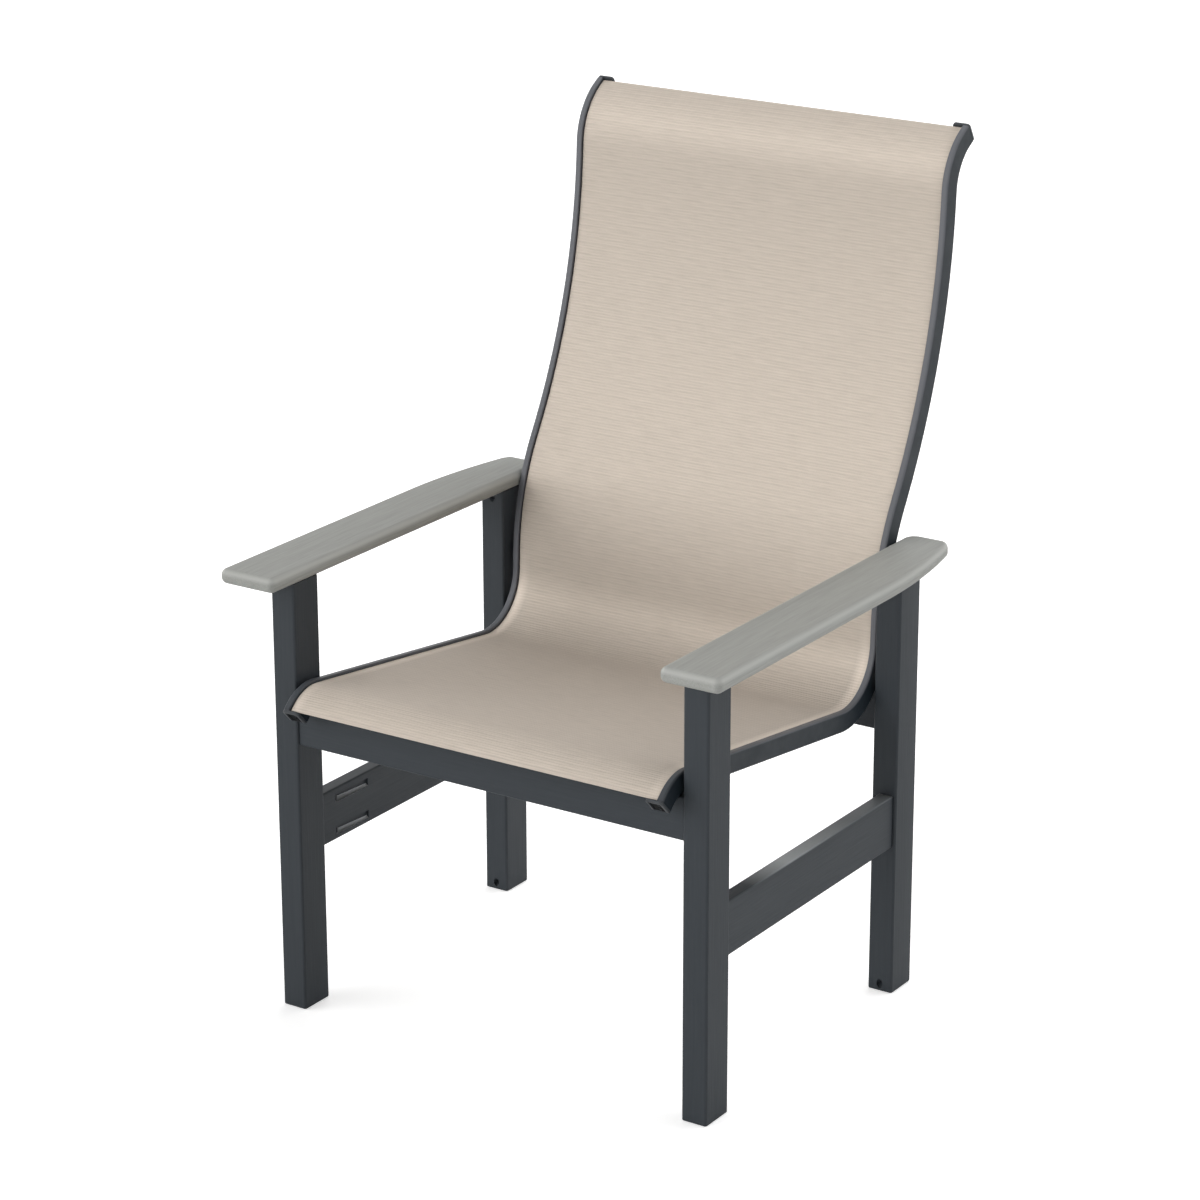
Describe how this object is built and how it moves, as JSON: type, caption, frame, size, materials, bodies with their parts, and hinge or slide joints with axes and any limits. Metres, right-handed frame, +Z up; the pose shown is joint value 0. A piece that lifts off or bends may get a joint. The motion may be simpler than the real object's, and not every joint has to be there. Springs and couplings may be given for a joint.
{
  "type": "sling patio chair",
  "caption": "High-backed patio armchair: a polymer board frame with wide flat armrests carries bent aluminium side rails that hold a stretched mesh sling as seat and back.",
  "frame": {"origin": "on the floor under the middle of the whole chair", "axes": "+X runs across the chair to the sitter's left, which is the viewer's right from the front, +Y points to the back and the front faces -Y, +Z is up"},
  "size_m": [0.779, 0.7895, 1.1781],
  "materials": {
    "frame_polymer": "charcoal grey recycled polymer lumber, fine satin grain",
    "arm_polymer": "warm mid grey polymer lumber with a faint brushed grain along the arm",
    "rail_aluminium": "charcoal powder coat, satin",
    "sling_mesh": "beige vinyl-coated polyester mesh in a fine plain weave",
    "hem_rod_plastic": "plain extruded plastic rod",
    "cap_plastic": "moulded charcoal plastic",
    "glide_nylon": "black nylon",
    "coated_steel": "dark coated steel"
  },
  "bodies": {
    "root": {"left_front_leg": "frame_polymer", "left_rear_leg": "frame_polymer", "right_front_leg": "frame_polymer", "right_rear_leg": "frame_polymer", "left_side_stretcher": "frame_polymer", "right_side_stretcher": "frame_polymer", "front_cross_rail": "frame_polymer", "rear_cross_rail": "frame_polymer", "left_armrest": "arm_polymer", "right_armrest": "arm_polymer", "left_sling_rail": "rail_aluminium", "left_hem_rod": "hem_rod_plastic", "right_sling_rail": "rail_aluminium", "right_hem_rod": "hem_rod_plastic", "sling_fabric": "sling_mesh", "back_spreader_bar": "rail_aluminium", "seat_spreader_bar": "rail_aluminium", "left_rail_front_cap": "cap_plastic", "left_rail_top_cap": "cap_plastic", "right_rail_front_cap": "cap_plastic", "right_rail_top_cap": "cap_plastic", "left_side_stretcher_to_left_front_leg_lower_screw": "coated_steel", "left_side_stretcher_to_left_front_leg_upper_screw": "coated_steel", "left_side_stretcher_to_left_rear_leg_lower_screw": "coated_steel", "left_side_stretcher_to_left_rear_leg_upper_screw": "coated_steel", "right_side_stretcher_to_right_rear_leg_lower_screw": "coated_steel", "right_side_stretcher_to_right_rear_leg_upper_screw": "coated_steel", "right_side_stretcher_to_right_front_leg_lower_screw": "coated_steel", "right_side_stretcher_to_right_front_leg_upper_screw": "coated_steel", "front_cross_rail_to_right_front_leg_lower_screw": "coated_steel", "front_cross_rail_to_right_front_leg_upper_screw": "coated_steel", "front_cross_rail_to_left_front_leg_lower_screw": "coated_steel", "front_cross_rail_to_left_front_leg_upper_screw": "coated_steel", "rear_cross_rail_to_left_rear_leg_lower_screw": "coated_steel", "rear_cross_rail_to_left_rear_leg_upper_screw": "coated_steel", "rear_cross_rail_to_right_rear_leg_lower_screw": "coated_steel", "rear_cross_rail_to_right_rear_leg_upper_screw": "coated_steel", "left_front_leg_to_armrest_screw": "coated_steel", "left_rear_leg_to_armrest_screw": "coated_steel", "right_front_leg_to_armrest_screw": "coated_steel", "right_rear_leg_to_armrest_screw": "coated_steel", "left_rail_front_bolt": "coated_steel", "left_rail_rear_bolt": "coated_steel", "right_rail_front_bolt": "coated_steel", "right_rail_rear_bolt": "coated_steel", "back_spreader_bar_left_screw": "coated_steel", "back_spreader_bar_right_screw": "coated_steel", "seat_spreader_bar_left_screw": "coated_steel", "seat_spreader_bar_right_screw": "coated_steel", "left_rail_front_spacer": "cap_plastic", "left_rail_rear_spacer": "cap_plastic", "right_rail_front_spacer": "cap_plastic", "right_rail_rear_spacer": "cap_plastic", "left_front_glide": "glide_nylon", "left_rear_glide": "glide_nylon", "right_front_glide": "glide_nylon", "right_rear_glide": "glide_nylon"}
  },
  "joints": []
}
